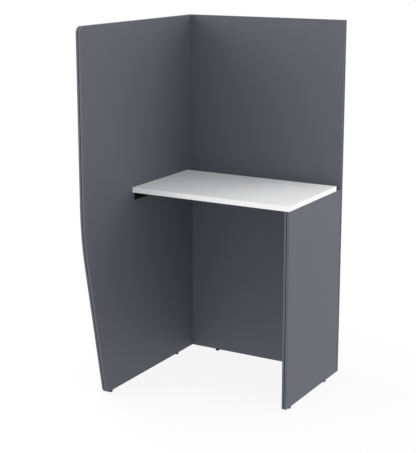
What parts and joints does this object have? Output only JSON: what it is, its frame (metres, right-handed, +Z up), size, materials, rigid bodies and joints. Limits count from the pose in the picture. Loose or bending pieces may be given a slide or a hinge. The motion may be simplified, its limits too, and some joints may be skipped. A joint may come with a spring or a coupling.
{
  "type": "office booth",
  "caption": "Free-standing office booth for one person: deep side panel with a sloping front edge, back panel, short leg panel and a standing-height desk on screw-adjusted levelling feet.",
  "frame": {"origin": "on the floor, at the centre of the bounding box's bottom face", "axes": "+X from the side panel to the leg panel (to the right of someone who faces the desk), +Y from the open front to the back panel, +Z up"},
  "size_m": [0.88, 1, 1.8],
  "materials": {
    "slate_board": "matte slate melamine",
    "black_core": "matte black",
    "white_desk_board": "matte white melamine",
    "white_edge_band": "matte white",
    "black_steel": "black powder coat",
    "zinc_steel": "bright zinc",
    "black_zinc_steel": "black zinc",
    "beech_dowel": "bare beech",
    "black_glide": "matte black",
    "black_nylon": "satin black"
  },
  "bodies": {
    "booth": {"side_panel_outer_skin": "slate_board", "side_panel_inner_skin": "slate_board", "back_panel_rear_skin": "slate_board", "back_panel_front_skin": "slate_board", "leg_panel_outer_skin": "slate_board", "leg_panel_inner_skin": "slate_board", "side_panel_core": "black_core", "back_panel_core": "black_core", "leg_panel_core": "black_core", "desk_board": "white_desk_board", "desk_edge_band": "white_edge_band", "left_support_angle": "black_steel", "right_support_angle": "black_steel", "left_angle_panel_screws": "black_zinc_steel", "left_angle_desk_screws": "black_zinc_steel", "right_angle_panel_screws": "black_zinc_steel", "right_angle_desk_screws": "black_zinc_steel", "left_corner_bolts": "zinc_steel", "right_corner_bolts": "zinc_steel", "left_corner_inserts": "zinc_steel", "right_corner_inserts": "zinc_steel", "foot_inserts": "zinc_steel", "left_corner_dowels": "beech_dowel", "right_corner_dowels": "beech_dowel", "desk_dowels": "beech_dowel"},
    "side_front_glide": {"side_front_glide": "black_glide"},
    "side_front_foot": {"side_front_foot_head": "black_nylon", "side_front_stem": "zinc_steel"},
    "side_rear_glide": {"side_rear_glide": "black_glide"},
    "side_rear_foot": {"side_rear_foot_head": "black_nylon", "side_rear_stem": "zinc_steel"},
    "back_left_glide": {"back_left_glide": "black_glide"},
    "back_left_foot": {"back_left_foot_head": "black_nylon", "back_left_stem": "zinc_steel"},
    "back_right_glide": {"back_right_glide": "black_glide"},
    "back_right_foot": {"back_right_foot_head": "black_nylon", "back_right_stem": "zinc_steel"},
    "leg_front_glide": {"leg_front_glide": "black_glide"},
    "leg_front_foot": {"leg_front_foot_head": "black_nylon", "leg_front_stem": "zinc_steel"},
    "leg_rear_glide": {"leg_rear_glide": "black_glide"},
    "leg_rear_foot": {"leg_rear_foot_head": "black_nylon", "leg_rear_stem": "zinc_steel"}
  },
  "joints": [
    {"name": "side_front_height", "type": "slide", "parent": "booth", "child": "side_front_glide", "axis": [0, 0, -1], "range_m": [-0.0009, 0.015]},
    {"name": "side_front_turn", "type": "hinge", "parent": "side_front_glide", "child": "side_front_foot", "pos_m": [-0.4275, -0.3, 0], "axis": [0, 0, -1], "range_deg": [-250, 4300]},
    {"name": "side_rear_height", "type": "slide", "parent": "booth", "child": "side_rear_glide", "axis": [0, 0, -1], "range_m": [-0.0009, 0.015]},
    {"name": "side_rear_turn", "type": "hinge", "parent": "side_rear_glide", "child": "side_rear_foot", "pos_m": [-0.4275, 0.325, 0], "axis": [0, 0, -1], "range_deg": [-250, 4300]},
    {"name": "back_left_height", "type": "slide", "parent": "booth", "child": "back_left_glide", "axis": [0, 0, -1], "range_m": [-0.0009, 0.015]},
    {"name": "back_left_turn", "type": "hinge", "parent": "back_left_glide", "child": "back_left_foot", "pos_m": [-0.265, 0.4875, 0], "axis": [0, 0, -1], "range_deg": [-250, 4300]},
    {"name": "back_right_height", "type": "slide", "parent": "booth", "child": "back_right_glide", "axis": [0, 0, -1], "range_m": [-0.0009, 0.015]},
    {"name": "back_right_turn", "type": "hinge", "parent": "back_right_glide", "child": "back_right_foot", "pos_m": [0.265, 0.4875, 0], "axis": [0, 0, -1], "range_deg": [-250, 4300]},
    {"name": "leg_front_height", "type": "slide", "parent": "booth", "child": "leg_front_glide", "axis": [0, 0, -1], "range_m": [-0.0009, 0.015]},
    {"name": "leg_front_turn", "type": "hinge", "parent": "leg_front_glide", "child": "leg_front_foot", "pos_m": [0.4275, -0.05, 0], "axis": [0, 0, -1], "range_deg": [-250, 4300]},
    {"name": "leg_rear_height", "type": "slide", "parent": "booth", "child": "leg_rear_glide", "axis": [0, 0, -1], "range_m": [-0.0009, 0.015]},
    {"name": "leg_rear_turn", "type": "hinge", "parent": "leg_rear_glide", "child": "leg_rear_foot", "pos_m": [0.4275, 0.35, 0], "axis": [0, 0, -1], "range_deg": [-250, 4300]}
  ],
  "couplings": [
    {"joint": "side_front_height", "follows": "side_front_turn", "m_per_rad": 0.00019894},
    {"joint": "side_rear_height", "follows": "side_rear_turn", "m_per_rad": 0.00019894},
    {"joint": "back_left_height", "follows": "back_left_turn", "m_per_rad": 0.00019894},
    {"joint": "back_right_height", "follows": "back_right_turn", "m_per_rad": 0.00019894},
    {"joint": "leg_front_height", "follows": "leg_front_turn", "m_per_rad": 0.00019894},
    {"joint": "leg_rear_height", "follows": "leg_rear_turn", "m_per_rad": 0.00019894}
  ]
}
